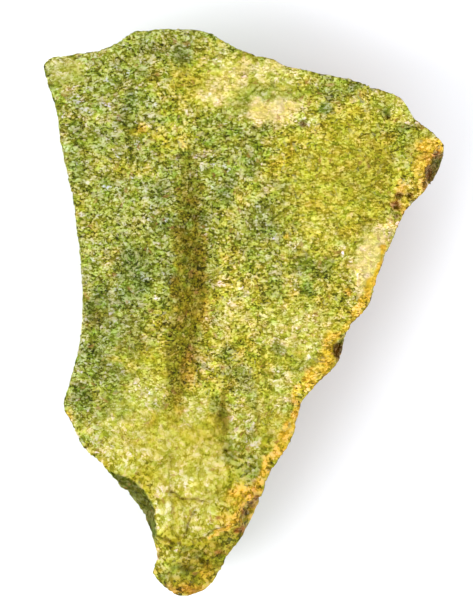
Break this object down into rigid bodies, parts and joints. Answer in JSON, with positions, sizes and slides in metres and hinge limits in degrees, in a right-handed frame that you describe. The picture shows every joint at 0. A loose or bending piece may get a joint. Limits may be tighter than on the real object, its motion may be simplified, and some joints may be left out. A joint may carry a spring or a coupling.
{
  "type": "nephrite jade specimen",
  "caption": "Rough wedge-shaped slab of green nephrite jade with a broad grainy fracture face, a long groove and a narrow tip.",
  "frame": {"origin": "middle of the bounding box's underside, on the surface that the stone rests on", "axes": "+Y along the stone, away from its narrow tip; +Z out of the broad fracture face; +X towards the pointed east corner"},
  "size_m": [0.06, 0.0854, 0.0229],
  "materials": {
    "nephrite": "rough, slightly waxy fracture surface"
  },
  "bodies": {
    "root": {"nephrite_slab": "nephrite"}
  },
  "joints": []
}
